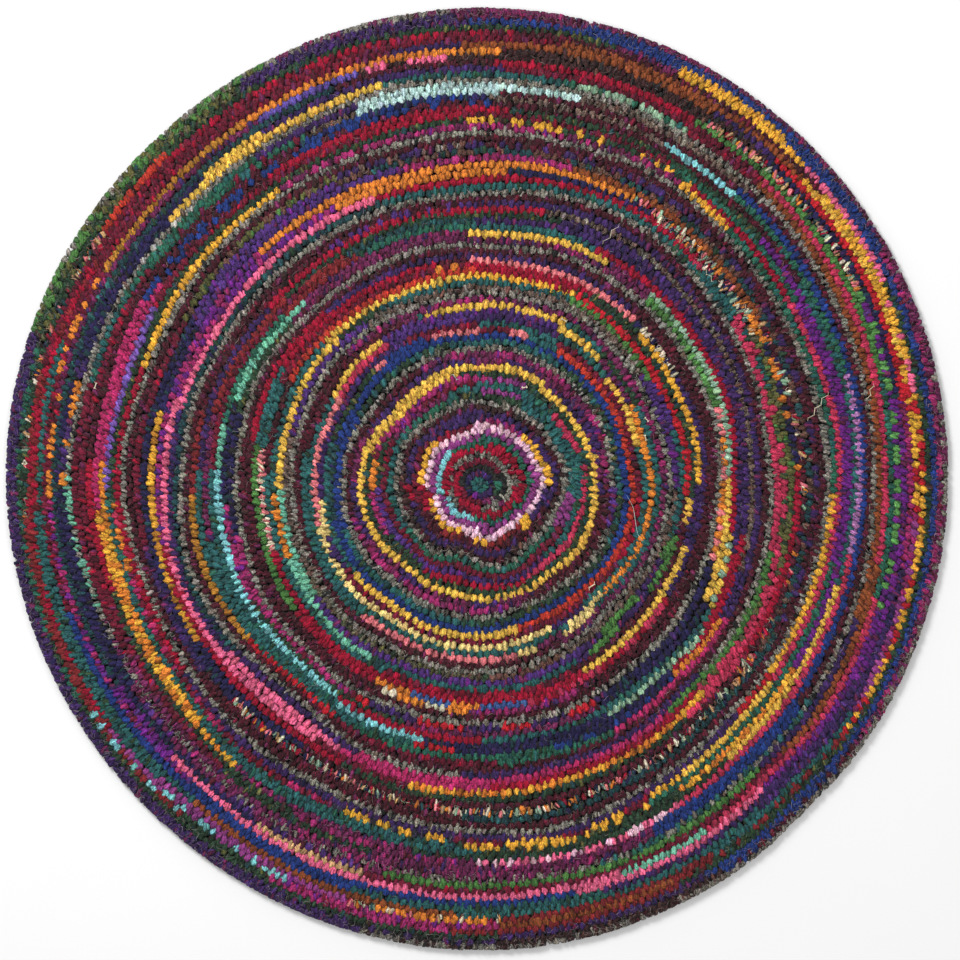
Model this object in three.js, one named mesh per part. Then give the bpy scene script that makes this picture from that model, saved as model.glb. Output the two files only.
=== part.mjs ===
// A round hooked rug with a chunky looped pile, lying flat on the floor.
// Millimetres, +Z up. The origin is on the floor, in the middle of the rug's outline.
import * as THREE from 'three';

// Driving sizes, over the tips of the loops.
const MEAN_RADIUS = 610;
const THICKNESS = 13;

// The rim's section: the backing ends a little inside the loops, which lean out over it
// and round off at the top.
const BACKING_INSET = 5;
const FURTHEST_OUT_AT = 5;
const SHOULDER = 9;
const RIM_DIVISIONS = 2;

// The outline is made by hand, so it isn't a true circle. Angles are counter-clockwise
// from +X, in degrees. A lobe row swells the radius by `swell` at `lobes` places, the
// first of them at `towards`.
const LOBES = [
  { lobes: 3, swell: 2, towards: 50 },
  { lobes: 4, swell: 1.5, towards: 90 },
];

// Stretches where the rim runs flatter, between two soft corners.
const FLATS = [
  { at: 315, halfSpan: 10, depth: 4 },
];

const OUTLINE_SEGMENTS = 144;
const FULL_TURN = 360;
const HALF_TURN = FULL_TURN / 2;

// The rim's distance from the middle in one direction.
function outlineRadius(degrees) {
  let radius = MEAN_RADIUS;
  for (const { lobes, swell, towards } of LOBES) {
    radius += swell * Math.cos(THREE.MathUtils.degToRad(lobes * (degrees - towards)));
  }
  for (const { at, halfSpan, depth } of FLATS) {
    const away = Math.abs(THREE.MathUtils.euclideanModulo(degrees - at + HALF_TURN, FULL_TURN) - HALF_TURN);
    if (away < halfSpan) {
      radius -= depth * Math.cos((away / halfSpan) * Math.PI / 2) ** 2;
    }
  }
  return radius;
}

// Half of the rug's section, from the axis along the floor, round the rim and back over the pile.
function section() {
  const path = new THREE.Path();
  path.moveTo(0, 0);
  path.lineTo(MEAN_RADIUS - BACKING_INSET, 0);
  path.absellipse(
    MEAN_RADIUS - BACKING_INSET, FURTHEST_OUT_AT,
    BACKING_INSET, FURTHEST_OUT_AT,
    -Math.PI / 2, 0,
  );
  path.absellipse(
    MEAN_RADIUS - SHOULDER, FURTHEST_OUT_AT,
    SHOULDER, THICKNESS - FURTHEST_OUT_AT,
    0, Math.PI / 2,
  );
  path.lineTo(0, THICKNESS);
  return path.getPoints(RIM_DIVISIONS);
}

// The section turned about +Z, with each point moved in or out to the uneven outline.
function rugGeometry() {
  const geometry = new THREE.LatheGeometry(section(), OUTLINE_SEGMENTS);
  geometry.rotateX(Math.PI / 2);
  const position = geometry.getAttribute('position');
  for (let i = 0; i < position.count; i += 1) {
    const x = position.getX(i);
    const y = position.getY(i);
    const stretch = outlineRadius(THREE.MathUtils.radToDeg(Math.atan2(y, x))) / MEAN_RADIUS;
    position.setXY(i, x * stretch, y * stretch);
  }
  geometry.computeBoundingBox();
  const middle = geometry.boundingBox.getCenter(new THREE.Vector3());
  geometry.translate(-middle.x, -middle.y, 0);
  geometry.computeVertexNormals();
  return geometry;
}

const yarn = new THREE.MeshStandardMaterial({ color: 0x5a2238, roughness: 1, metalness: 0 });

const rug = new THREE.Mesh(rugGeometry(), yarn);
rug.name = 'rug';

const model = new THREE.Group();
model.add(rug);

export default model;
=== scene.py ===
import math

import bpy
import numpy as np
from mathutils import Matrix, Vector


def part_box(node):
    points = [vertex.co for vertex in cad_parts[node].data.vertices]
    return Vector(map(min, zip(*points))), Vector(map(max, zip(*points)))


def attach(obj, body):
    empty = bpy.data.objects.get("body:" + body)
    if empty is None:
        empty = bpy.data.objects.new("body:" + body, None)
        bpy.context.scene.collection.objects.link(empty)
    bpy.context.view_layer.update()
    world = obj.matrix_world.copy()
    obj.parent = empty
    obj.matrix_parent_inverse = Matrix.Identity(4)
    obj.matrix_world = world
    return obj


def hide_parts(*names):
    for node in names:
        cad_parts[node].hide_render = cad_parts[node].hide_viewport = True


MM = 0.001
SEED = 4127

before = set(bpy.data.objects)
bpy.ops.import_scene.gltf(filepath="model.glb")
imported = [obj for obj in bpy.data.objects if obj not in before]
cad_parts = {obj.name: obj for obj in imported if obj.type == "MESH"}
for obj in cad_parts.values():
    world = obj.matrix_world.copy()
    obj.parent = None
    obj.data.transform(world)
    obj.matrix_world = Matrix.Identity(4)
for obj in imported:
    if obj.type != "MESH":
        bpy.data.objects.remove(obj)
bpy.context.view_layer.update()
_, rug_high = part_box("rug")
PILE_TOP = rug_high[2]

# ---- The chart ----
# Directions on the rug are clock angles about its heart: degrees clockwise from +Y, this many to
# an hour.
HOUR = 30

# A yarn: its colour as lit (red, green, blue, 0 to 255), and how woolly it is. 0 is a smooth
# cotton or silk strand, 1 a hairy wool whose fibres are flecked light and dark.
YARNS = {
    "grey": (140, 135, 125, 1.0),
    "silver": (185, 180, 175, 0.4),
    "taupe": (115, 95, 85, 1.0),
    "brown": (110, 75, 65, 0.9),
    "moss": (95, 90, 70, 1.0),
    "umber": (65, 40, 40, 0.9),
    "coal": (40, 40, 40, 0.8),
    "slate": (65, 60, 80, 0.7),
    "maroon": (80, 25, 40, 0.8),
    "wine": (115, 25, 50, 0.4),
    "crimson": (165, 15, 50, 0.1),
    "red": (195, 30, 45, 0.1),
    "vermilion": (200, 60, 45, 0.1),
    "brick": (135, 40, 45, 0.2),
    "rust": (145, 75, 40, 0.2),
    "orange": (230, 135, 50, 0.0),
    "gold": (245, 180, 60, 0.0),
    "yellow": (245, 195, 80, 0.0),
    "ochre": (185, 125, 45, 0.2),
    "tan": (215, 170, 120, 0.1),
    "straw": (250, 220, 140, 0.0),
    "cream": (240, 230, 200, 0.1),
    "forest": (45, 70, 50, 0.6),
    "pine": (35, 70, 75, 0.6),
    "teal": (45, 100, 100, 0.3),
    "emerald": (45, 105, 85, 0.3),
    "leaf": (80, 130, 65, 0.1),
    "apple": (100, 160, 85, 0.1),
    "olive": (100, 100, 55, 0.4),
    "sage": (150, 185, 155, 0.1),
    "mint": (115, 190, 160, 0.0),
    "aqua": (135, 210, 215, 0.0),
    "ice": (195, 230, 225, 0.0),
    "royal": (35, 60, 130, 0.1),
    "steel": (65, 95, 155, 0.1),
    "navy": (40, 35, 80, 0.4),
    "indigo": (65, 40, 95, 0.4),
    "violet": (85, 50, 125, 0.1),
    "purple": (115, 35, 135, 0.1),
    "periwinkle": (100, 80, 165, 0.1),
    "lilac": (130, 95, 185, 0.1),
    "orchid": (185, 125, 185, 0.0),
    "plum": (115, 40, 85, 0.6),
    "magenta": (170, 45, 110, 0.3),
    "pink": (245, 110, 150, 0.0),
    "rose": (200, 55, 90, 0.1),
    "cerise": (190, 45, 105, 0.1),
    "mauve": (150, 65, 135, 0.1),
    "salmon": (240, 130, 135, 0.1),
    "blush": (250, 200, 220, 0.0),
}

# Confetti is knotted bits of every colour.
CONFETTI = ("cream", "tan", "orange", "salmon", "sage", "navy", "brown", "crimson", "pine")

# What each round is mainly worked in, from the eye of the rug outwards: a yarn and the hour of a
# clock where it begins, to the nearest half hour. It runs clockwise to where the next one begins,
# and each beginning is moved a little at random. Yarns with a stroke change at random from tuft
# to tuft, with a tilde they take turns in short lengths, and with a plus they are twisted in one.
ROUNDS = (
    "teal 0",
    "teal 0",
    "indigo 0, navy 2, indigo 4, purple 6, navy 7.5, indigo 10",
    "coal 0, emerald 2.5, plum 4, wine 6, coal 9",
    "wine 0, coal 2, grey/plum 4, crimson 6, wine 10",
    "grey 0, grey/plum 4, crimson 5, grey/wine 6.5, grey 11",
    "crimson 0, grey/crimson 1.5, crimson 4, emerald 5.5, aqua 6.5, crimson 8.5",
    "crimson 0.5, emerald 4, mauve 5.5, aqua 8.5, emerald 10.5",
    "emerald 0, mauve 4, blush 6, mauve 8.5",
    "mauve 0, blush 4, gold 6.5, crimson 8.5, blush 9",
    "blush 0, gold~brick 4, brick/maroon 6.5, crimson 8, wine~gold 9",
    "magenta~gold 0, indigo~gold 2, maroon 4.5, wine 8.5, indigo 10.5",
    "indigo 0, maroon 3.5, indigo 5, crimson 8.5, indigo 9",
    "maroon/umber 0",
    "grey 0",
    "teal 1, mauve 3, emerald 4, teal 8, emerald 10, forest 11.5",
    "mauve 0, teal 1, mauve 3, wine 4, plum 10, teal 11.5",
    "teal 0, rose 1.5, teal 2.5, indigo 4.5, violet 6, forest 9, magenta 10, wine 11",
    "mauve 0, forest 1, rose 2.5, crimson 5, forest 7, magenta 8, orange 9, magenta 9.5",
    "forest 0, yellow 1, forest 2.5, yellow 9.5, forest 11.5",
    "yellow 0, indigo 1, yellow 2.5",
    "plum~indigo 0, maroon 3, plum~indigo 5",
    "magenta/plum 0, maroon 3, magenta/plum 5.5, maroon 8.5, magenta/plum 11",
    "grey 0, violet~grey 3, grey 3.5",
    "teal 0, forest/teal 1, forest 4, teal 6, royal 8.5, teal/forest 10",
    "royal 0, pine 8.5, royal 9.5",
    "teal 0.5, vermilion 1, yellow 5.5, teal 8, forest 9.5, royal~salmon 10.5, wine~salmon 11.5",
    "teal 0, wine 1, crimson 3, wine 4, indigo 8, straw 8.5, indigo 9, wine 11",
    "indigo 0, teal 1, yellow 1.5, teal 2.5, indigo 4.5, straw 5, salmon 8.5, rose 10, violet 11",
    "violet 0, yellow 1, plum 1.5, orange 2, straw 4.5, teal 5, yellow 10, violet 11",
    "teal 1, forest 1.5, teal 2, straw~plum 4.5, salmon 5.5, teal 7.5, maroon 9.5, teal/plum 11, "
    "yellow 11.5",
    "plum 0, magenta/plum 2, plum 3, maroon 5, magenta/plum 10.5",
    "grey 0",
    "taupe 0, violet 2, taupe 3, brown 5, moss 6, taupe 8, violet 9.5, taupe 11",
    "leaf 1, violet 2, teal 2.5, indigo~leaf 3.5, violet 5, mint 8, yellow 9, forest 10.5, teal 11",
    "gold 0, red 1, maroon 3, leaf~indigo 3.5, teal 5, mint 7, orange 8.5, teal 9, yellow 10.5",
    "crimson 0, forest 1, yellow 3, maroon 3.5, crimson/wine 5, teal 7, maroon 9, vermilion 10",
    "crimson 0, forest 1, gold 1.5, indigo 3, yellow 3.5, crimson 5, salmon+cream 8.5, teal 9.5, wine 10, "
    "orange/wine 11.5",
    "salmon 0, cream+navy 1.5, indigo 2, crimson/rose 4, orange~steel 5.5, crimson 7, leaf 8, teal 9.5, "
    "crimson 10, maroon 11.5",
    "indigo 0, maroon 1.5, magenta/plum 5, orange~cream 6, maroon 7, crimson 9.5, indigo 10.5",
    "maroon 0",
    "grey 0",
    "plum 0, leaf/apple 1.5, salmon/orange 2.5, navy 3.5, indigo~red 5, magenta 7, navy 8.5, forest 9.5, "
    "plum 10.5",
    "yellow 0, plum 1, sage 1.5, yellow 3, navy 4, plum 5, forest 6.5, magenta 8, navy 9, mint 9.5, "
    "plum 10.5",
    "teal 0, crimson 1, sage/yellow 3.5, teal 4, crimson 6, aqua 7, mint 9, emerald 9.5, brick 10.5, "
    "emerald 11",
    "indigo 0, crimson 3.5, sage 4, navy 5, aqua 6.5, teal 7, wine 9, brick 10.5, pine 11",
    "indigo 0.5, crimson 3.5, navy 4.5, red 6, teal 6.5, plum 8.5, brick 9.5, forest 10.5",
    "taupe 0.5, indigo 3.5, orange 4, navy/royal 4.5, emerald 5.5, teal 7, indigo 9, crimson 10.5",
    "indigo 0, cerise 4, emerald 5, wine 6, red 7, ochre 8, brick 9, maroon 9.5, violet/maroon 11",
    "maroon 0",
    "grey 0, indigo 4.5, grey 6",
    "teal 0, rose 2, leaf 3.5, cerise 4.5, indigo 7, pine 8, teal 11.5",
    "crimson 0, rose/teal 1.5, rose/olive 2.5, crimson 4.5, cerise 6, pink 7, indigo 8, pink 9.5, "
    "crimson 11.5",
    "navy 0, confetti 1, olive 2, rose 3.5, orange/gold 4.5, wine 6.5, pink 7, magenta/purple 9.5, "
    "orange 11",
    "confetti 1, orange/navy 2, crimson 3, rose 4, forest 4.5, crimson 7, magenta/purple 8.5, orange 10.5",
    "rust 0.5, maroon/confetti 2, maroon 4.5, navy 7, gold/ochre 8, navy 9.5, violet 10, magenta 11.5",
    "pine/brown 0, confetti 4, navy 7.5, violet 10, pine/brown 11",
    "indigo/maroon 0, pine 4, maroon 6, indigo 8, wine 8.5, olive/brown 10, taupe/indigo 11",
    "maroon 0",
    "grey 0",
    "gold 1, emerald 1.5, gold 3, red 4, indigo 4.5, crimson 8, gold 9.5, magenta/plum 11",
    "gold/forest 0, crimson 1, rose 2, yellow 4, gold~wine 5, gold/slate 6, cerise/wine 7, "
    "rose/orange 8.5, forest 9",
    "wine 0, emerald 1, purple 2, emerald 3.5, gold/forest 5, teal 6, lilac 9, wine 10, crimson 11.5",
    "forest 0, purple 1.5, gold/orange 4, forest 5, teal 6, gold/orange 7.5, cerise 9, royal/maroon 10, "
    "crimson 11",
    "maroon 0, teal 2, yellow 3.5, forest 4.5, plum 6.5, gold/orange 7.5, cerise 9, royal/maroon 10",
    "taupe 0, aqua 1, emerald 1.5, orchid 2.5, rose 3.5, pink/blush 5, magenta/plum 6, forest 7, "
    "crimson 8.5, maroon 9, royal/navy 11",
    "maroon 0, royal 1.5, plum 5, forest 6.5, wine 7.5, emerald/wine 10, taupe 11, ice 11.5",
    "taupe 0.5, maroon 1.5, royal 4, plum 5, wine 8, teal 9.5, emerald 10, indigo 11, ice 11.5",
    "grey 0, teal/grey 4, grey+plum 5.5, mint+grey 8.5, grey 9, silver/grey 10, grey 10.5",
    "sage/emerald 0.5, wine 1, rust 1.5, indigo 3.5, leaf 4.5, violet/plum 6.5, navy 8, orange/indigo 9, "
    "navy 9.5, yellow 10.5, teal 11.5",
    "wine 0, rose 1.5, rust 3.5, wine 4.5, tan 6.5, navy 7, yellow 10.5, indigo 11",
    "crimson 0, leaf 1, emerald 2.5, rose 3.5, mint 5, pink 5.5, purple 7.5, pine 8, maroon 11.5",
    "umber 0, confetti 1, apple/purple 2, purple 3.5, pink 4.5, royal 5.5, magenta/purple 7.5, "
    "orange/wine 9, plum 9.5, periwinkle 11, umber~pink 11.5",
    "umber 0, navy 1.5, purple 2.5, indigo 4, teal 5.5, royal 6.5, wine 8.5, orange/wine 9.5, ochre 10, "
    "orange 11",
    "rust 0, indigo 1, red 1.5, magenta 2.5, indigo 3.5, teal 4.5, rust 6, teal 7.5, wine 9.5, "
    "indigo 11.5",
    "rust 0.5, gold/yellow 1.5, gold/red 2.5, mauve/magenta 3, teal 4, brick 5, confetti/orange 6, "
    "mauve 6.5, teal 7.5, brick/crimson 9, wine 10",
    "maroon 0, gold 1.5, pink/gold 2, red/gold 2.5, forest/brick 4, rust 5, magenta 6, aqua/mauve 7, "
    "mauve 7.5, brick/crimson 8, wine 9.5, crimson/wine 10.5",
    "plum 0.5, gold 1, pink 1.5, forest 2, brick 5, magenta 6, forest 7, aqua/brick 7.5, brick 8, "
    "confetti/forest 9, vermilion 10, forest 10.5",
    "royal 0, gold 1, royal 1.5, indigo 5, forest 6, emerald/forest 8, olive/forest 9.5, indigo 11",
    "plum 0, royal 0.5, magenta/plum 2, maroon/royal 4, umber 5, indigo/coal 6, indigo 7, "
    "olive/leaf/forest 9.5, indigo 11",
    "plum 0, grey/plum 2.5, grey 4, grey/umber 5, indigo 6.5, olive/grey/leaf 9.5, grey/plum 11",
)

# The rounds were worked freehand, so they swerve. A row pushes the rounds near one of them in or
# out, in millimetres, over so many hours to each side and so many rounds deep.
SWERVES = (
    # round, hour, push, half width, deep
    (14, 3, 6, 0.5, 4),
    (14, 4.5, -6, 0.5, 4),
    (14, 6.5, -14, 0.5, 4),
    (20, 7, -6, 1, 3),
    (20, 10.5, -6, 1, 3),
    (23, 5, -8, 0.5, 4),
    (32, 1, 8, 0.5, 4),
    (32, 4.5, -8, 0.5, 4),
    (41, 0, -6, 0.5, 4),
    (41, 8, 8, 0.5, 4),
    (44, 4, 8, 0.5, 2),
    (50, 11.5, -10, 1, 4),
    (50, 1, 10, 0.5, 4),
    (50, 7.5, -10, 0.5, 4),
    (50, 8.5, 8, 0.5, 4),
    (59, 1, 8, 0.5, 4),
    (59, 5.5, 10, 0.5, 4),
    (59, 9, 12, 0.5, 4),
    (68, 2.5, -6, 0.5, 4),
    (68, 9, 10, 0.5, 4),
)
# Every round also wanders: so many waves to a turn, this far in and out, in millimetres.
WANDER = ((3, 1.4), (5, 1.3), (8, 1.1), (13, 0.8))
# How far a round's waves are turned on from those of the round before, in radians.
WANDER_DRIFT = 0.24
WANDER_PHASES = np.random.default_rng(SEED).uniform(0, 2 * math.pi, len(WANDER))
# They wander less in the eye, which has this many rounds.
EYE_ROUNDS = 10

# The rounds run about the heart, a little off the outline's middle. Round 0 is the tufts on it.
HEART = np.array([3.9, -8.0]) * MM
ROUND_COUNT = len(ROUNDS) - 1

# ---- Where the tufts stand ----
# How far apart they stand along a round, and on the last one.
TUFT_SPACING = 9.3 * MM
RIM_SPACING = 7.4 * MM
# In the first few rounds they stand closer.
HEART_SPACING = 7.0 * MM
HEART_ROUNDS = 6
FEWEST_TUFTS = 3
# Strands widen with the room along the round, which counts as at least this much of the usual.
LEAST_ROOM = 0.9
# How roughly the widest gap is judged, how often a round's tufts are evened out, and how far each
# then stands off its place, as a share of the spacing.
GAP_JUDGED = (0.85, 1.15)
EVENING_PASSES = 6
TUFT_JITTER = 0.08
# How often, in degrees, a round is measured.
MEASURE_STEP = 10
# The last rounds are pressed together, so that the last one's tips reach the rim.
LAST_ROUND_INSIDE = 3.2 * MM
PRESSED_ROUNDS = 5
# The rim is read off the solid once in so many degrees.
RIM_STEP = 2.5
# Keeps a division by nothing from failing.
TINY = 1e-9


def clock_direction(degrees):
    """The unit vector at a clock angle, in x and y."""
    a = np.radians(degrees)
    return np.stack([np.sin(a), np.cos(a)], axis=-1)


def from_heart(flat):
    """Points' offsets, distances and clock angles from the heart."""
    away = flat - HEART
    x, y = away[..., 0], away[..., 1]
    return away, np.hypot(x, y), np.degrees(np.arctan2(x, y)) % 360


def rim_reader():
    """The rim's distance from the heart by clock angle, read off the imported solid's own outline."""
    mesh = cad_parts["rug"].data
    points = np.zeros(len(mesh.vertices) * 3)
    mesh.vertices.foreach_get("co", points)
    _, reach, clock = from_heart(points.reshape(-1, 3)[:, :2])
    slots = np.floor(clock / RIM_STEP).astype(int)
    outer = [np.argmax(np.where(slots == s, reach, 0)) for s in np.unique(slots)]

    def rim(degrees):
        return np.interp(degrees, clock[outer], reach[outer], period=360)

    return rim


rim_distance = rim_reader()


def round_distance(number, degrees):
    """How far from the heart a round runs at a clock angle. Number may be between two rounds."""
    rim = rim_distance(degrees)
    distance = rim * number / ROUND_COUNT
    pressed = np.clip((number - (ROUND_COUNT - PRESSED_ROUNDS)) / PRESSED_ROUNDS, 0, 1)
    distance = distance - LAST_ROUND_INSIDE * pressed
    for about, hour, push, half_width, deep in SWERVES:
        near = np.exp(-((number - about) / deep) ** 2)
        aside = (degrees - hour * HOUR + 180) % 360 - 180
        beside = np.exp(-(aside / (half_width * HOUR)) ** 2)
        distance = distance + push * MM * near * beside
    free = np.minimum(1, number / EYE_ROUNDS) * (1 - pressed)
    for (waves, reach), phase in zip(WANDER, WANDER_PHASES):
        turned = np.radians(waves * np.asarray(degrees)) + phase + WANDER_DRIFT * number
        distance = distance + reach * MM * free * np.cos(turned)
    return distance


def stagger_tufts(rng):
    """The clock angles of each round's tufts. Each tuft stands between two of the round before it,
    and new ones come in where the gaps have grown widest, so the tips interlock."""
    angles = []
    previous = np.array([0.0, 180.0])
    for number in range(ROUND_COUNT + 1):
        reach = np.mean(round_distance(number, np.arange(0, 360, MEASURE_STEP)))
        length = 2 * math.pi * float(reach)
        spacing = HEART_SPACING if number <= HEART_ROUNDS else TUFT_SPACING
        if number == ROUND_COUNT:
            spacing = RIM_SPACING
        wanted = max(FEWEST_TUFTS, round(length / spacing))
        gaps = np.diff(np.append(previous, previous[0] + 360))
        here = previous + gaps / 2
        while len(here) < wanted:
            gaps = np.diff(np.append(here, here[0] + 360))
            widest = int(np.argmax(gaps * rng.uniform(*GAP_JUDGED, len(gaps))))
            here = np.insert(here, widest + 1, here[widest] + gaps[widest] / 2)
        for _ in range(EVENING_PASSES):
            before = np.roll(here, 1)
            before[0] -= 360
            after = np.roll(here, -1)
            after[-1] += 360
            here = (here + (before + after) / 2) / 2
        previous = here
        jitter = rng.normal(0, TUFT_JITTER, len(here)) * 360 / len(here)
        angles.append(np.mod(here + jitter, 360))
    return angles


# ---- What the tufts are made of ----
# The yarns change places in a ragged line: a tuft may take the yarn of a spot this far off.
RAGGED_DEGREES = 0.5
# A run of yarn begins up to this many hours off its place on the chart.
START_WANDER = 0.16
# How many tufts a short length of yarn makes: at least the first number, fewer than the second.
SHORT_LENGTH = (3, 9)
YARN_NAMES = tuple(YARNS)
STRANDS_A_TUFT = 3


def linear(channel):
    """A colour channel from 0 to 255 as it is shown, as linear light, by the sRGB curve."""
    c = np.asarray(channel, float) / 255
    return np.where(c <= 0.04045, c / 12.92, ((c + 0.055) / 1.055) ** 2.4)


YARN_COLOURS = np.array([linear(YARNS[name][:3]) for name in YARN_NAMES])


def read_round(text, rng):
    """A chart line as its yarns and the clock angles where they begin, in order."""
    runs = []
    for part in text.split(","):
        yarn, hour = part.split()
        start = (float(hour) + rng.uniform(-START_WANDER, START_WANDER)) * HOUR % 360
        runs.append((start, yarn))
    return sorted(runs)


def turns_in_lengths(yarns, count, rng):
    """For each of so many tufts, the yarn whose turn it is, where yarns take turns in short lengths."""
    turns = []
    while len(turns) < count:
        turns += [yarns[0]] * int(rng.integers(*SHORT_LENGTH))
        yarns = yarns[1:] + yarns[:1]
    return turns[:count]


def pick_yarns(text, degrees, rng):
    """The yarn's number for each strand of each tuft of a round."""
    runs = read_round(text, rng)
    starts = np.array([start for start, _ in runs])
    asked = (degrees + rng.uniform(-RAGGED_DEGREES, RAGGED_DEGREES, len(degrees))) % 360
    which = np.searchsorted(starts, asked, side="right") - 1
    lengths = {}
    for run in np.unique(which):
        lengths[run] = turns_in_lengths(runs[run][1].split("~"), len(degrees), rng)
    order = np.argsort(np.argsort(degrees))
    picked = []
    for place, run in zip(order, which):
        turn = str(rng.choice(lengths[run][place].split("/")))
        twisted = CONFETTI if turn == "confetti" else turn.split("+")
        picked.append([YARN_NAMES.index(str(rng.choice(twisted))) for _ in range(STRANDS_A_TUFT)])
    return np.array(picked)


# ---- A tuft's shape ----
# A tuft is a loop of strands side by side. A strand is a closed four-sided sliver that points
# away from the heart. Its section's corners: how far across, how high, and how far out of the
# painted shade that darkens its sides and foot.
SECTION = (
    (1.0, 0.70, 0.38),
    (0.0, 1.00, 1.00),
    (-1.0, 0.70, 0.38),
    (0.0, 0.00, 0.00),
)
# Its two ends and the sections between: how far along its half length, how high.
ENDS = ((-1.0, 0.60), (1.0, 0.60))
STATIONS = ((-0.62, 0.95), (0.60, 1.00))
# How far out of the painted shade a strand's two ends are.
END_PAINTED_SHADE = 0.36
STRAND_APART = 2.15 * MM
STRAND_SPLAY = math.radians(5)
MIDDLE_LONGER = 1.24
HALF_LENGTH = 5.1 * MM
HALF_WIDTH = 3.0 * MM
# A smooth yarn is fatter than a woolly one, and the strands of a twisted tuft are thin.
SMOOTH_BULK = 1.10
WOOLLY_BULK = 0.95
TWISTED_BULK = 0.74
# The foot of a tuft, and the lowest any of its points comes.
TUFT_BASE = 2.5 * MM
LOWEST = 1.6 * MM
# How far below the top of the pile in millimetres: a tuft and a strand at most, an outer strand
# below the middle one, and a woolly yarn below a smooth one.
TUFT_DROP = 2.2
STRAND_DROP = 0.8
OUTER_DROP = 1.4
WOOLLY_DROP = 0.5
# How much tufts vary, their strands' lengths, more so in wool, and their widths: the usual share,
# the least and the most. Then how far a strand's corners stray.
TUFT_SIZES = (0.07, 0.8, 1.2)
LENGTHS = (0.08, 0.65, 1.4)
WIDTHS = (0.12, 0.7, 1.35)
CORNER_STRAYS = 0.11
# How much a tuft and a strand turn at random, and how steeply a strand tips up or down.
TUFT_TURNS = math.radians(7)
STRAND_TURNS = math.radians(9)
STRAND_TIPS = 0.13
# How far a strand is off its place along and across the tuft.
OFF_ALONG = 0.9 * MM
OFF_ACROSS = 0.5 * MM
# Those two and its turn grow with how loose it is: this loose in a smooth yarn, so much more in a
# woolly or twisted one. On the last rounds strands turn more still.
SMOOTH_LOOSE = 0.35
WOOLLY_LOOSER = 1.05
RIM_TURNS_MORE = 1.2
RIM_ROUNDS = 3
# In the first rounds tufts turn by this many radians besides, and are shorter by this share. It
# fades over so many rounds.
HEART_TURNS = 1.2
HEART_SHORTER = 0.35
HEART_TANGLE = 2.0
# The tufts lean clockwise of straight out, more in two opposite quarters, and in soft waves: how
# many to a turn, their phase in degrees, how far they lean, and their drift from round to round.
LEAN = math.radians(13)
LEAN_WAVES = (
    (2, -232, math.radians(18), 0.0),
    (7, 205, math.radians(4), 0.31),
    (12, 90, math.radians(4), 0.31),
)


def faces_between(rings, sides, first=0):
    """The four-sided faces between rings of so many points each."""
    quads = []
    for ring in range(first, first + (rings - 1) * sides, sides):
        for i in range(sides):
            j = (i + 1) % sides
            quads.append((ring + i, ring + sides + i, ring + sides + j, ring + j))
    return np.array(quads)


def strand_template():
    """A strand of half length, half width and height 1: points (along, across, up, painted shade),
    quads and triangles."""
    corners = len(SECTION)
    points = [(ENDS[0][0], 0.0, ENDS[0][1], END_PAINTED_SHADE)]
    for along, high in STATIONS:
        # The third value of each corner is its painted shade.
        for across, up, shade in SECTION:
            points.append((along, across, up * high, shade))
    points.append((ENDS[1][0], 0.0, ENDS[1][1], END_PAINTED_SHADE))
    triangles = []
    last = len(points) - 1
    for i in range(corners):
        j = (i + 1) % corners
        triangles.append((0, 1 + i, 1 + j))
        triangles.append((last, last - corners + j, last - corners + i))
    quads = faces_between(len(STATIONS), corners, first=1)
    return np.array(points), quads, np.array(triangles)


def lean_field(tufts):
    """How far each tuft is turned clockwise of straight out, in radians."""
    lean = LEAN
    for waves, phase, size, drift in LEAN_WAVES:
        turned = np.radians(waves * tufts["clock"] + phase) + drift * tufts["round"]
        lean = lean + size * np.cos(turned)
    return lean


# From this far inside the rim the top of the pile rounds over, down by this much, ever steeper.
# Points that would pass the rim are pressed together in this last bit before it.
SHOULDER = 9 * MM
SHOULDER_DROP = 5 * MM
SHOULDER_CURVE = 2.5
RIM_GIVE = 3 * MM


def round_over(flat, z, allowance):
    """Press points that would pass the rim back to it, and lower the top of the pile near it."""
    away, distance, clock = from_heart(flat)
    rim = rim_distance(clock) + allowance
    free = rim - RIM_GIVE
    past = distance - free
    squeezed = free + RIM_GIVE * np.tanh(np.maximum(past, 0) / RIM_GIVE)
    pressed = np.where(past > 0, squeezed, distance)
    flat = HEART + away * (pressed / np.maximum(distance, TINY))[..., None]
    near = np.clip((pressed - (rim - SHOULDER)) / SHOULDER, 0, 1)
    return flat, np.minimum(z, PILE_TOP - SHOULDER_DROP * near ** SHOULDER_CURVE)


# How far past the rim the tips may come on average, and how much that varies.
TIPS_PAST_RIM = (0.9 * MM, 0.5 * MM)
# Each strand's fibres are looked up in a place of its own, within this many metres.
PATTERN_REACH = 3


def factors(rng, count, varies, least, most):
    """Random factors about 1, within limits."""
    return rng.normal(1, varies, count).clip(least, most)


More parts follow.
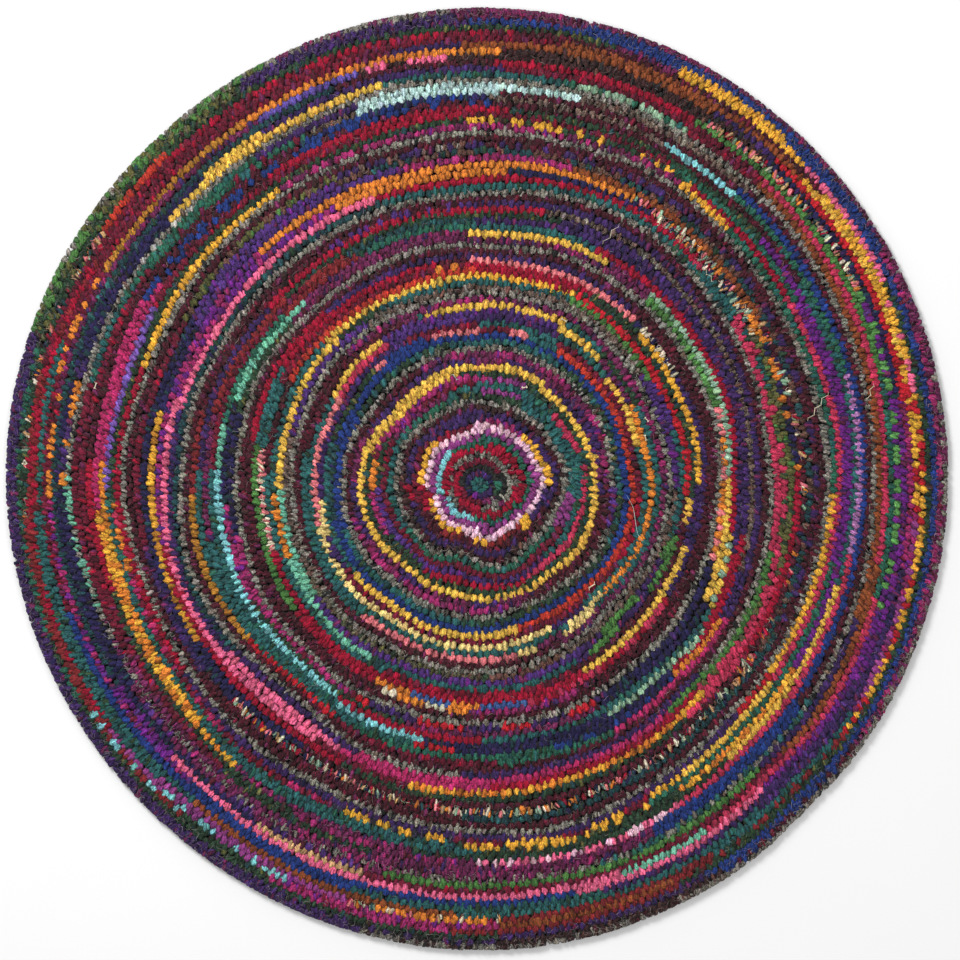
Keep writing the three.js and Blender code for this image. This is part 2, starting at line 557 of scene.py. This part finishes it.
def build_strands(tufts, rng):
    """Every strand's points in metres, its texture coordinates and how far it is out of the painted
    shade.
    """
    template, _, _ = strand_template()
    tuft_count = len(tufts["clock"])
    of_tuft = np.repeat(np.arange(tuft_count), STRANDS_A_TUFT)
    count = len(of_tuft)
    side = np.tile(np.arange(STRANDS_A_TUFT) - (STRANDS_A_TUFT - 1) / 2, tuft_count)
    wool = tufts["wool"].ravel()
    twisted = tufts["twisted"][of_tuft]
    loose = SMOOTH_LOOSE + WOOLLY_LOOSER * np.maximum(wool, twisted)
    bulk = SMOOTH_BULK + (WOOLLY_BULK - SMOOTH_BULK) * wool
    room = tufts["room"][of_tuft]

    size = factors(rng, tuft_count, *TUFT_SIZES)[of_tuft]
    longer = (1 + rng.normal(0, LENGTHS[0], count) * (1 + wool)).clip(*LENGTHS[1:])
    length = HALF_LENGTH * size * longer * np.where(side == 0, MIDDLE_LONGER, 1) * bulk
    wider = factors(rng, count, *WIDTHS)
    width = HALF_WIDTH * size * wider * room * bulk * np.where(twisted > 0, TWISTED_BULK, 1)
    drop = rng.uniform(0, TUFT_DROP, tuft_count)[of_tuft] + np.abs(side) * OUTER_DROP
    drop = drop + rng.uniform(0, STRAND_DROP, count) + WOOLLY_DROP * wool
    height = PILE_TOP - drop * MM - TUFT_BASE
    shape = template[None, :, :3] + rng.normal(0, CORNER_STRAYS, (count, len(template), 3))
    x = shape[:, :, 0] * length[:, None]
    y = shape[:, :, 1] * width[:, None]
    z = shape[:, :, 2] * height[:, None] + rng.normal(0, STRAND_TIPS, count)[:, None] * x

    tuft_yaw = tufts["skew"] + lean_field(tufts) + rng.normal(0, TUFT_TURNS, tuft_count)
    tangled = np.exp(-tufts["round"] / HEART_TANGLE)
    tuft_yaw = (tuft_yaw + tangled * rng.normal(0, HEART_TURNS, tuft_count))[of_tuft]
    x = x * (1 - HEART_SHORTER * tangled[of_tuft])[:, None]
    outer = (tufts["round"][of_tuft] > ROUND_COUNT - RIM_ROUNDS).astype(float)
    astray = (loose + RIM_TURNS_MORE * outer) * rng.normal(0, STRAND_TURNS, count)
    yaw = tuft_yaw + side * STRAND_SPLAY + astray
    from_out = (loose * rng.normal(0, OFF_ALONG, count))[:, None]
    from_side = (side * STRAND_APART * room + loose * rng.normal(0, OFF_ACROSS, count))[:, None]
    cos, sin = np.cos(yaw)[:, None], np.sin(yaw)[:, None]
    tuft_cos, tuft_sin = np.cos(tuft_yaw)[:, None], np.sin(tuft_yaw)[:, None]
    out = x * cos - y * sin + from_out * tuft_cos - from_side * tuft_sin
    aside = x * sin + y * cos + from_out * tuft_sin + from_side * tuft_cos

    outward = clock_direction(tufts["clock"])[of_tuft]
    clockwise = np.stack([outward[:, 1], -outward[:, 0]], axis=-1)
    distance = tufts["distance"][of_tuft]
    flat = HEART + outward[:, None] * (distance[:, None] + out)[..., None]
    flat = flat + clockwise[:, None] * aside[..., None]
    z = np.clip(z + TUFT_BASE, LOWEST, PILE_TOP)
    flat, z = round_over(flat, z, rng.normal(*TIPS_PAST_RIM, (count, 1)))
    place = np.concatenate([flat, z[..., None]], axis=-1)
    strand = np.stack([x, y, np.broadcast_to(template[:, 2], x.shape) * height[:, None]], axis=-1)
    strand += rng.uniform(0, PATTERN_REACH, (count, 1, 3))
    # How far each point is out of the painted shade that darkens a strand's sides, ends and foot.
    painted_shade_level = np.broadcast_to(template[:, 3], x.shape)
    return of_tuft, place, strand, painted_shade_level


# ---- Meshes ----
def fill_mesh(name, points, quads, triangles):
    """A mesh from arrays of points, four-sided faces and three-sided faces."""
    mesh = bpy.data.meshes.new(name)
    corners = np.concatenate([quads.ravel(), triangles.ravel()]).astype(np.int32)
    starts = np.concatenate([
        np.arange(len(quads)) * 4,
        len(quads) * 4 + np.arange(len(triangles)) * 3,
    ]).astype(np.int32)
    mesh.vertices.add(len(points))
    mesh.vertices.foreach_set("co", points.astype(np.float32).ravel())
    mesh.loops.add(len(corners))
    mesh.loops.foreach_set("vertex_index", corners)
    mesh.polygons.add(len(starts))
    mesh.polygons.foreach_set("loop_start", starts)
    mesh.update(calc_edges=True)
    return mesh


def add_values(mesh, name, kind, field, values):
    """Keep a value at each point of a mesh, for its material to read."""
    attribute = mesh.attributes.new(name, kind, "POINT")
    attribute.data.foreach_set(field, values.astype(np.float32).ravel())


def mesh_of_copies(name, points, quads, triangles, colours):
    """A mesh of copies of one small shape, each with its own points and yarn colour."""
    count, each, _ = points.shape
    offset = (np.arange(count) * each)[:, None, None]
    quads = (quads + offset).reshape(-1, 4)
    triangles = (triangles + offset).reshape(-1, 3)
    mesh = fill_mesh(name, points.reshape(-1, 3), quads, triangles)
    opaque = np.column_stack([colours, np.ones(count)])
    add_values(mesh, "yarn_colour", "FLOAT_COLOR", "color", np.repeat(opaque, each, axis=0))
    return mesh


def place_object(name, data, material=None):
    """A new object in the scene: a mesh with its material, a camera or a light."""
    placed = bpy.data.objects.new(name, data)
    bpy.context.scene.collection.objects.link(placed)
    if material:
        data.materials.append(material)
    return placed


# ---- Materials ----
class Nodes:
    """A new material's node tree, with short ways of adding to it."""

    def __init__(self, name):
        self.material = bpy.data.materials.new(name)
        self.material.use_nodes = True
        self.tree = self.material.node_tree
        self.shader = self.tree.nodes["Principled BSDF"]

    def feed(self, socket, value):
        """Give a socket a number, or link it to another node's output."""
        if isinstance(value, bpy.types.NodeSocket):
            self.tree.links.new(value, socket)
        else:
            socket.default_value = value

    def shade(self, socket, value):
        """Feed one of the shader's own sockets."""
        self.feed(self.shader.inputs[socket], value)

    def add(self, kind, fed=None, **settings):
        """Add a node with its settings, feed its inputs, and give back its outputs."""
        node = self.tree.nodes.new(kind)
        for key, value in settings.items():
            setattr(node, key, value)
        for key, value in (fed or {}).items():
            self.feed(node.inputs[key], value)
        return node.outputs

    def attribute(self, name, output):
        return self.add("ShaderNodeAttribute", attribute_name=name)[output]

    def place(self):
        """The place on the rug, in metres."""
        return self.add("ShaderNodeTexCoord")["Object"]

    def maths(self, operation, a, b=0.0):
        return self.add("ShaderNodeMath", {0: a, 1: b}, operation=operation)[0]

    def noise(self, vector, scale, detail=2.0, distortion=0.0):
        """Noise from 0 to 1. The scale is one number, or three: along x, y and z."""
        if isinstance(scale, tuple):
            vector = self.add("ShaderNodeMapping", {"Vector": vector, "Scale": scale})[0]
            scale = 1.0
        fed = {"Vector": vector, "Scale": scale, "Detail": detail, "Distortion": distortion}
        return self.add("ShaderNodeTexNoise", fed)["Fac"]

    def ramp(self, value, span, to=(0.0, 1.0)):
        """A number moved from one span to another, and held within it."""
        ends = zip(("From Min", "From Max", "To Min", "To Max"), span + to)
        return self.add("ShaderNodeMapRange", {"Value": value, **dict(ends)})[0]

    def mix_number(self, factor, a, b):
        return self.add("ShaderNodeMix", {0: factor, 2: a, 3: b}, data_type="FLOAT")[0]

    def mix_colour(self, factor, a, b):
        return self.add("ShaderNodeMix", {0: factor, 6: a, 7: b}, data_type="RGBA")[2]

    def scale_colour(self, colour, factor):
        return self.add("ShaderNodeVectorMath", {0: colour, "Scale": factor}, operation="SCALE")[0]

    def bump(self, height, strength, distance):
        fed = {"Strength": strength, "Distance": distance, "Height": height}
        return self.add("ShaderNodeBump", fed)[0]


# How fine the noise is along, across and up a smooth strand and a woolly one, and in their specks.
STREAK_SCALE = (230, 520, 300)
HAIR_SCALE = (330, 380, 330)
SPECK_SCALE = 620
# What is left of the colour in the painted shade deep between strands, and how much higher hair
# stands.
PAINTED_SHADE_SHARE = 0.12
HAIR_HEIGHT = 1.8


def yarn_material():
    """Hooked yarn: fine streaks along the smooth yarns' strands, of fibre and of painted highlight,
    and flecked hair on the woolly ones'. The sides and the foot of a strand are darkened with
    painted shade, as if shade fell deep in the pile."""
    n = Nodes("yarn")
    colour = n.attribute("yarn_colour", "Color")
    wool = n.attribute("wool", "Fac")
    strand = n.attribute("strand", "Vector")
    painted_shade_level = n.attribute("painted_shade_level", "Fac")
    streaks = n.noise(strand, STREAK_SCALE, detail=2.5, distortion=0.8)
    specks = n.noise(strand, SPECK_SCALE, distortion=0.5)
    hair = n.noise(strand, HAIR_SCALE, detail=3.0, distortion=1.2)
    # On smooth yarns the streaks are partly fibre and partly painted highlight, lighter than the yarn.
    streak_and_highlight_tone = n.ramp(streaks, span=(0.34, 0.64), to=(0.40, 1.32))
    woolly_tone = n.ramp(hair, span=(0.36, 0.64), to=(0.28, 1.66))
    smooth_specks = n.ramp(specks, span=(0.34, 0.60), to=(0.60, 1.14))
    woolly_specks = n.ramp(specks, span=(0.34, 0.60), to=(0.45, 1.15))
    tone = n.mix_number(wool, streak_and_highlight_tone, woolly_tone)
    tone = n.maths("MULTIPLY", tone, n.mix_number(wool, smooth_specks, woolly_specks))
    lit = n.scale_colour(colour, tone)
    # Painted shade: the colour darkens towards the sides and foot of each strand, as if shade fell between
    # them.
    out_of_painted_shade = n.ramp(painted_shade_level, span=(0.15, 0.85))
    n.shade("Base Color", n.mix_colour(out_of_painted_shade, n.scale_colour(lit, PAINTED_SHADE_SHARE), lit))
    n.shade("Roughness", n.ramp(streaks, span=(0.3, 0.7), to=(0.62, 0.82)))
    height = n.mix_number(wool, streaks, n.maths("MULTIPLY", hair, HAIR_HEIGHT))
    n.shade("Normal", n.bump(height, strength=0.8, distance=0.9 * MM))
    n.shade("Sheen Weight", 0.10)
    n.shade("Sheen Roughness", 0.5)
    n.shade("Specular IOR Level", 0.2)
    return n.material


def fibre_material():
    """A loose fibre or thread, a little lighter and darker along its length."""
    n = Nodes("loose_fibre")
    colour = n.attribute("yarn_colour", "Color")
    tone = n.noise(n.place(), 400, detail=1.0)
    n.shade("Base Color", n.scale_colour(colour, n.ramp(tone, span=(0.3, 0.7), to=(0.75, 1.25))))
    n.shade("Roughness", 0.8)
    n.shade("Normal", n.bump(tone, strength=0.3, distance=0.2 * MM))
    return n.material


def plain_weave(n, place, threads_per_metre):
    """How high the over-and-under threads of a plain weave stand, from 0 to 1."""
    split = n.add("ShaderNodeSeparateXYZ", {0: place})
    wave = math.pi * threads_per_metre
    threads = []
    for way in (0, 1):
        threads.append(n.maths("ABSOLUTE", n.maths("SINE", n.maths("MULTIPLY", split[way], wave))))
    checker = n.add("ShaderNodeTexChecker", {"Vector": place, "Scale": threads_per_metre})
    return n.mix_number(checker["Fac"], *threads)


CANVAS_THREADS = 420
CANVAS_COLOURS = ((0.50, 0.43, 0.31, 1), (0.56, 0.49, 0.37, 1))


def backing_material():
    """The natural cotton canvas that the yarn is hooked through, as it shows from below."""
    n = Nodes("backing_canvas")
    place = n.place()
    weave = plain_weave(n, place, CANVAS_THREADS)
    blotch = n.noise(place, 14, detail=3.0)
    slub = n.noise(place, (60, 700, 60))
    # The weave's dips are darker: painted shade where threads pass under each other.
    weave_painted_shade = n.ramp(weave, span=(0.0, 1.0), to=(0.62, 1.05))
    tone = n.maths("MULTIPLY", weave_painted_shade, n.ramp(slub, span=(0.3, 0.7), to=(0.9, 1.08)))
    cotton = n.mix_colour(n.ramp(blotch, span=(0.35, 0.65)), *CANVAS_COLOURS)
    n.shade("Base Color", n.scale_colour(cotton, tone))
    n.shade("Roughness", 0.92)
    n.shade("Normal", n.bump(weave, strength=0.8, distance=0.8 * MM))
    return n.material


# Near-black painted shade for the foot of the pile, in place of the shade deep between tufts.
PILE_FOOT_PAINTED_SHADE_COLOURS = ((0.012, 0.008, 0.010, 1), (0.05, 0.03, 0.035, 1))


def underpile_material():
    """The near-black foot of the pile, painted shade that shows only deep between the tufts."""
    n = Nodes("pile_foot_painted_shade")
    fuzz = n.noise(n.place(), 500, detail=3.0)
    n.shade("Base Color", n.mix_colour(fuzz, *PILE_FOOT_PAINTED_SHADE_COLOURS))
    n.shade("Roughness", 0.95)
    n.shade("Normal", n.bump(fuzz, strength=0.6, distance=0.5 * MM))
    return n.material


# ---- The pieces ----
# The pile is cut into bands of rounds, so that no mesh grows too big.
PILE_BANDS = (35, 50, 62, 72, ROUND_COUNT)
# How far a tuft stands off its round, in rounds.
OFF_ROUND = 0.06
# Where a round runs askew, as seen this many degrees to each side, its tufts turn by this share.
SKEW_STEP = 1
SKEW_SHARE = 0.5


def lay_tufts(rng):
    """Every tuft of the rug: its round, clock angle, distance from the heart, yarn and set."""
    rounds = []
    for number, (text, angles) in enumerate(zip(ROUNDS, stagger_tufts(rng))):
        count = len(angles)
        off_round = rng.normal(0, OFF_ROUND, count)
        distance = round_distance(number + off_round, angles)
        ahead = round_distance(number, angles + SKEW_STEP) - round_distance(number, angles - SKEW_STEP)
        slope = np.arctan2(ahead, distance * math.radians(2 * SKEW_STEP))
        rounds.append({
            "round": np.full(count, number),
            "clock": angles,
            "distance": distance,
            "yarn": pick_yarns(text, angles, rng),
            "room": np.maximum(2 * math.pi * distance / count / TUFT_SPACING, LEAST_ROOM),
            "skew": -slope * SKEW_SHARE,
        })
    tufts = {key: np.concatenate([each[key] for each in rounds]) for key in rounds[0]}
    tufts["wool"] = np.array([YARNS[name][3] for name in YARN_NAMES])[tufts["yarn"]]
    tufts["twisted"] = (tufts["yarn"] != tufts["yarn"][:, :1]).any(axis=1).astype(float)
    return tufts


# A heathered yarn has strands of its neighbours on the dye shelf among its own.
HEATHER = {
    "grey": "taupe grey coal",
    "taupe": "grey brown umber",
    "brown": "taupe umber wine",
    "moss": "olive forest brown",
    "umber": "maroon coal brown",
    "maroon": "umber wine plum",
    "wine": "maroon crimson plum",
    "forest": "pine umber olive",
    "pine": "forest teal navy",
    "teal": "pine forest emerald",
    "emerald": "teal forest teal",
    "olive": "forest moss leaf",
    "navy": "indigo coal pine",
    "indigo": "navy plum violet",
    "violet": "indigo purple plum",
    "purple": "violet plum indigo",
    "plum": "maroon indigo magenta",
    "magenta": "plum purple wine",
    "slate": "coal navy grey",
}
HEATHER_NEIGHBOURS = 3
HEATHER_CHANCE = 0.20
# How much tufts and smooth strands vary in lightness, how much more woolly strands do, and their
# limits. Then how much a strand's red, green and blue vary, the least and the most.
TUFT_SHADES = 0.14
SMOOTH_SHADES = 0.13
WOOLLY_SHADES = 0.14
SHADE_LIMITS = (0.45, 1.5)
TINTS = (0.04, 0.85, 1.15)


def strand_colours(tufts, of_tuft, rng):
    """Each strand's own colour in linear light: its yarn's or a neighbour's, lighter or darker."""
    beside = []
    for name in YARN_NAMES:
        others = HEATHER[name].split() if name in HEATHER else [name] * HEATHER_NEIGHBOURS
        beside.append([YARN_NAMES.index(other) for other in others])
    beside = np.array(beside)
    yarn = tufts["yarn"].ravel()
    count = len(yarn)
    mixed = rng.random(count) < HEATHER_CHANCE
    yarn = np.where(mixed, beside[yarn, rng.integers(0, HEATHER_NEIGHBOURS, count)], yarn)
    strand_shades = SMOOTH_SHADES + WOOLLY_SHADES * tufts["wool"].ravel()
    shade = rng.normal(1, TUFT_SHADES, len(tufts["clock"]))[of_tuft] * rng.normal(1, strand_shades)
    tint = factors(rng, (count, 3), *TINTS)
    return YARN_COLOURS[yarn] * shade.clip(*SHADE_LIMITS)[:, None] * tint


def make_pile(tufts, material, rng):
    """The bands of tufts, out to the rim."""
    of_tuft, place, strand, painted_shade_level = build_strands(tufts, rng)
    colours = strand_colours(tufts, of_tuft, rng)
    wool = tufts["wool"].ravel()
    points, quads, triangles = strand_template()
    in_round = tufts["round"][of_tuft]
    bands = []
    first = 0
    for index, last in enumerate(PILE_BANDS, start=1):
        chosen = np.flatnonzero((in_round >= first) & (in_round <= last))
        name = f"pile_band_{index}"
        mesh = mesh_of_copies(name, place[chosen], quads, triangles, colours[chosen])
        add_values(mesh, "wool", "FLOAT", "value", np.repeat(wool[chosen], len(points)))
        add_values(mesh, "strand", "FLOAT_VECTOR", "vector", strand[chosen])
        # The painted shade of each point, read by the yarn material.
        add_values(mesh, "painted_shade_level", "FLOAT", "value", painted_shade_level[chosen])
        band = place_object(name, mesh, material)
        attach(band, "root")
        bands.append(band)
        first = last + 1
    return bands


# How many loose fibres curl over a fully woolly tuft, one at the rim and, besides, a twisted one.
FIBRES_A_TUFT = 0.62
FIBRES_AT_RIM = 1.6
FIBRES_IN_TWIST = 1.2
FIBRE_THICK = 0.42 * MM
FIBRE_THICKER = (0.7, 1.2)
FIBRE_LENGTH = 9 * MM
FIBRE_LONGER = (0.6, 1.4)
FIBRE_STEPS = 5
# How far a fibre lies off its tuft, below the top of the pile in millimetres, and past the rim.
FIBRE_SCATTER = 2.6 * MM
FIBRE_DROP = (0.4, 1.8)
FIBRE_PAST_RIM = 0.5 * MM
# It is paler than its yarn by a share of this colour, and lighter or darker.
FIBRE_PALE = (168, 158, 154)
PALE_SHARE = (0.05, 0.55)
FIBRE_SHADES = (0.7, 1.3)
# A curl swings by so many radians, through so many radians of a wave from any start, bends one
# way by about this much, and rises this far, or a share of it.
CURL_SWING = (0.5, 1.5)
CURL_WAVES = (2.5, 6.5)
CURL_START = (0, 6.28)
CURL_BEND = 1.1
CURL_RISE = 0.9 * MM
CURL_RISE_SHARE = (0.3, 1.0)


def curl(start, heading, length, rng):
    """Paths that curl over the pile: (fibre, step, x y z), from start points in a heading."""
    single = (len(start), 1)
    along = np.linspace(0, 1, FIBRE_STEPS)[None]
    wave = rng.uniform(*CURL_SWING, single) * np.sin(
        rng.uniform(*CURL_WAVES, single) * along + rng.uniform(*CURL_START, single)
    )
    turned = heading[:, None] + wave + rng.normal(0, CURL_BEND, single) * along
    step = (length / (FIBRE_STEPS - 1))[:, None]
    moves = np.stack([np.cos(turned) * step, np.sin(turned) * step], axis=-1)
    moves[:, 0] = 0
    flat = start[:, None, :2] + np.cumsum(moves, axis=1)
    flat = flat + (start[:, None, :2] - flat.mean(axis=1, keepdims=True))
    rise = CURL_RISE * np.sin(math.pi * along) * rng.uniform(*CURL_RISE_SHARE, single)
    z = start[:, None, 2] + rise
    return np.concatenate([flat, z[..., None]], axis=-1)


TUBE_SIDES = 3
# A tube swells in its middle like half a sine wave, less this share of it at each end.
TUBE_END = 0.12


def tubes(paths, thick):
    """Thin closed tubes along paths: points, quads and triangles."""
    count, steps, _ = paths.shape
    ahead = np.gradient(paths, axis=1)
    ahead /= np.linalg.norm(ahead, axis=-1, keepdims=True)
    aside = np.cross(ahead, np.array([0.0, 0.0, 1.0]))
    aside /= np.maximum(np.linalg.norm(aside, axis=-1, keepdims=True), TINY)
    over = np.cross(aside, ahead)
    taper = np.sin(math.pi * (TUBE_END + (1 - 2 * TUBE_END) * np.linspace(0, 1, steps)))[None, :, None]
    rings = []
    for corner in range(TUBE_SIDES):
        a = 2 * math.pi * corner / TUBE_SIDES + math.pi / 2
        rings.append(paths + (aside * math.cos(a) + over * math.sin(a)) * thick[:, None, None] * taper)
    points = np.stack(rings, axis=2).reshape(count, steps * TUBE_SIDES, 3)
    last = (steps - 1) * TUBE_SIDES
    triangles = np.array([(0, 1, 2), (last, last + 2, last + 1)])
    return points, faces_between(steps, TUBE_SIDES), triangles


def make_fibres(tufts, material):
    """The loose fibres, as curling tubes on top of the pile."""
    rng = np.random.default_rng(SEED + 1)
    at_rim = tufts["round"] > ROUND_COUNT - RIM_ROUNDS
    wanted = FIBRES_A_TUFT * tufts["wool"].mean(axis=1) ** 2 + FIBRES_IN_TWIST * tufts["twisted"]
    wanted = np.where(at_rim, FIBRES_AT_RIM, wanted)
    each = np.floor(wanted + rng.random(len(wanted))).astype(int)
    of_tuft = np.repeat(np.arange(len(each)), each)
    count = len(of_tuft)
    outward = clock_direction(tufts["clock"][of_tuft])
    start = HEART + outward * tufts["distance"][of_tuft][:, None]
    start = start + rng.normal(0, FIBRE_SCATTER, (count, 2))
    z = PILE_TOP - rng.uniform(*FIBRE_DROP, count) * MM
    heading = rng.uniform(0, 2 * math.pi, count)
    length = FIBRE_LENGTH * rng.uniform(*FIBRE_LONGER, count)
    paths = curl(np.column_stack([start, z]), heading, length, rng)
    flat, z = round_over(paths[..., :2], paths[..., 2], rng.normal(0, FIBRE_PAST_RIM, (count, 1)))
    paths = np.concatenate([flat, z[..., None]], axis=-1)
    points, quads, triangles = tubes(paths, FIBRE_THICK * rng.uniform(*FIBRE_THICKER, count))
    colours = YARN_COLOURS[tufts["yarn"][of_tuft, rng.integers(0, STRANDS_A_TUFT, count)]]
    share = rng.uniform(*PALE_SHARE, (count, 1))
    colours = colours * (1 - share) + linear(FIBRE_PALE) * share
    colours = colours * rng.uniform(*FIBRE_SHADES, (count, 1))
    mesh = mesh_of_copies("loose_fibres", points, quads, triangles, colours)
    piece = place_object("loose_fibres", mesh, material)
    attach(piece, "root")
    return piece


# Untrimmed ends, and lint. The reach from the heart and the thickness are in millimetres.
STRAY_THREADS = (
    # yarn, clock angle, reach, to clock angle, to reach, curls, thickness
    ("cream", 75, 468, 79, 433, 3, 1.2),
    ("ice", 94, 191, 110, 226, 1, 0.8),
    ("cream", 27, 350, 28, 385, 2, 0.8),
    ("ice", 345, 148, 349, 140, 1, 0.8),
    ("cream", 24, 136, 25, 143, 1, 1.6),
    ("cream", 26, 238, 28, 243, 1, 1.6),
    ("cream", 68, 229, 69, 236, 1, 1.4),
    ("cream", 73, 221, 75, 226, 1, 1.4),
    ("cream", 130, 194, 134, 197, 1, 1.8),
    ("cream", 284, 513, 285, 518, 1, 1.8),
    ("cream", 75.5, 527, 77.8, 514, 2, 1.0),
    ("grey", 41, 524, 41.6, 532, 1, 1.0),
    ("cream", 46, 404, 49, 402, 2, 0.8),
)
# How far a curl swings aside, and how far it runs ahead and back, as a share of that.
CURL_SIZE = 2.6 * MM
CURL_AHEAD = 0.6
# A thread lies this far below the pile's top, and rises and sinks with its curls.
THREAD_DROP = 0.1 * MM
THREAD_ROLL = 0.3 * MM
THREAD_STEPS = 31


def make_stray_threads(material):
    """The stray ends and lint as thin curling tubes on top of the pile."""
    along = np.linspace(0, 1, THREAD_STEPS)
    paths = []
    thick = []
    colours = []
    for name, clock, reach, to_clock, to_reach, curls, millimetres in STRAY_THREADS:
        start = HEART + clock_direction(clock) * reach * MM
        stop = HEART + clock_direction(to_clock) * to_reach * MM
        ahead = (stop - start) / np.linalg.norm(stop - start)
        aside = np.array([-ahead[1], ahead[0]])
        turn = 2 * math.pi * curls * along
        curling = aside * np.sin(turn)[:, None] + ahead * CURL_AHEAD * np.sin(2 * turn)[:, None]
        flat = start + (stop - start) * along[:, None] + CURL_SIZE * curling
        z = PILE_TOP - THREAD_DROP + THREAD_ROLL * np.cos(turn)
        paths.append(np.column_stack([flat, z]))
        thick.append(millimetres / 2 * MM)
        colours.append(linear(YARNS[name][:3]))
    points, quads, triangles = tubes(np.array(paths), np.array(thick))
    mesh = mesh_of_copies("stray_threads", points, quads, triangles, np.array(colours))
    piece = place_object("stray_threads", mesh, material)
    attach(piece, "root")
    return piece


BACKING_THICKNESS = 2.2 * MM
BACKING_INSET = 6 * MM
BACKING_STEPS = 360


def make_backing(canvas, foot):
    """The canvas as a thin closed disc under the pile, near-black painted shade above and woven below."""
    clock = np.arange(BACKING_STEPS) * 360 / BACKING_STEPS
    reach = rim_distance(clock) - BACKING_INSET
    rim = HEART + clock_direction(clock) * reach[:, None]
    heights = (0.0, BACKING_THICKNESS)
    points = [np.column_stack([rim, np.full(BACKING_STEPS, z)]) for z in heights]
    points = np.concatenate(points + [np.array([[*HEART, z]]) for z in heights])
    sides = faces_between(2, BACKING_STEPS)
    middle = np.full(BACKING_STEPS, 2 * BACKING_STEPS)
    under = np.stack([middle, sides[:, 0], sides[:, 3]], axis=-1)
    over = np.stack([middle + 1, sides[:, 2], sides[:, 1]], axis=-1)
    mesh = fill_mesh("backing", points, sides, np.concatenate([under, over]))
    piece = place_object("backing", mesh, canvas)
    # The top takes the near-black painted shade of the pile's foot.
    mesh.materials.append(foot)
    slots = np.zeros(len(mesh.polygons), np.int32)
    slots[-BACKING_STEPS:] = 1
    mesh.polygons.foreach_set("material_index", slots)
    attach(piece, "root")
    after = np.roll(rim, -1, axis=0)
    area = abs(float(np.sum(rim[:, 0] * after[:, 1] - rim[:, 1] * after[:, 0]))) / 2
    size = rim.max(axis=0) - rim.min(axis=0)
    return piece, (float(size[0]), float(size[1])), area


# ---- The studio ----
CAMERA_HEIGHT = 6.0
# What the photo takes in from side to side at the top of the pile, and where its middle falls.
VIEW_WIDTH = 1.2456
VIEW_MIDDLE = (3.9 * MM, -1.3 * MM)
SENSOR_WIDTH = 36
FURTHEST_SEEN = 50


def make_camera():
    """A camera straight above the rug."""
    data = bpy.data.cameras.new("camera")
    camera = place_object("camera", data)
    camera.location = (VIEW_MIDDLE[0], VIEW_MIDDLE[1], CAMERA_HEIGHT)
    data.sensor_width = SENSOR_WIDTH
    data.lens = SENSOR_WIDTH * (CAMERA_HEIGHT - PILE_TOP) / VIEW_WIDTH
    data.clip_end = FURTHEST_SEEN
    bpy.context.scene.camera = camera


# Each lamp's name, place, width and watts, and how strong the light from all round is.
LAMPS = (
    ("key", (-1.6, 2.0, 2.6), 1.5, 98),
    ("fill", (1.8, -1.4, 3.0), 2.6, 24),
)
SKY_STRENGTH = 0.49


def make_lights():
    """Round soft lamps that face the rug, and an even white light from all round."""
    for name, place, size, power in LAMPS:
        data = bpy.data.lights.new(name, "AREA")
        data.shape = "DISK"
        data.size = size
        data.energy = power
        light = place_object(name, data)
        light.location = place
        light.rotation_euler = (-Vector(place)).to_track_quat("-Z", "Y").to_euler()
    world = bpy.data.worlds.new("studio")
    world.use_nodes = True
    background = world.node_tree.nodes["Background"]
    background.inputs["Color"].default_value = (1, 1, 1, 1)
    background.inputs["Strength"].default_value = SKY_STRENGTH
    bpy.context.scene.world = world
    bpy.context.scene.view_settings.view_transform = "Standard"


FLOOR_REACH = 40
FLOOR_GAP = 0.2 * MM
FLOOR_COLOURS = ((0.93, 0.93, 0.93, 1), (0.96, 0.96, 0.96, 1))


def make_floor():
    """A plain pale floor, just below the rug."""
    corners = FLOOR_REACH * np.array([(-1, -1, 0), (1, -1, 0), (1, 1, 0), (-1, 1, 0)])
    face = np.array([(0, 1, 2, 3)])
    mesh = fill_mesh("floor", corners - (0, 0, FLOOR_GAP), face, np.zeros((0, 3)))
    n = Nodes("floor")
    n.shade("Base Color", n.mix_colour(n.noise(n.place(), 3), *FLOOR_COLOURS))
    n.shade("Roughness", 0.9)
    floor = place_object("floor", mesh, n.material)


make_camera()
make_lights()
make_floor()
random = np.random.default_rng(SEED)
tufts = lay_tufts(random)
pile = make_pile(tufts, yarn_material(), random)
fibre = fibre_material()
pile.append(make_fibres(tufts, fibre))
pile.append(make_stray_threads(fibre))
backing, backing_size, backing_area = make_backing(backing_material(), underpile_material())
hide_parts("rug")
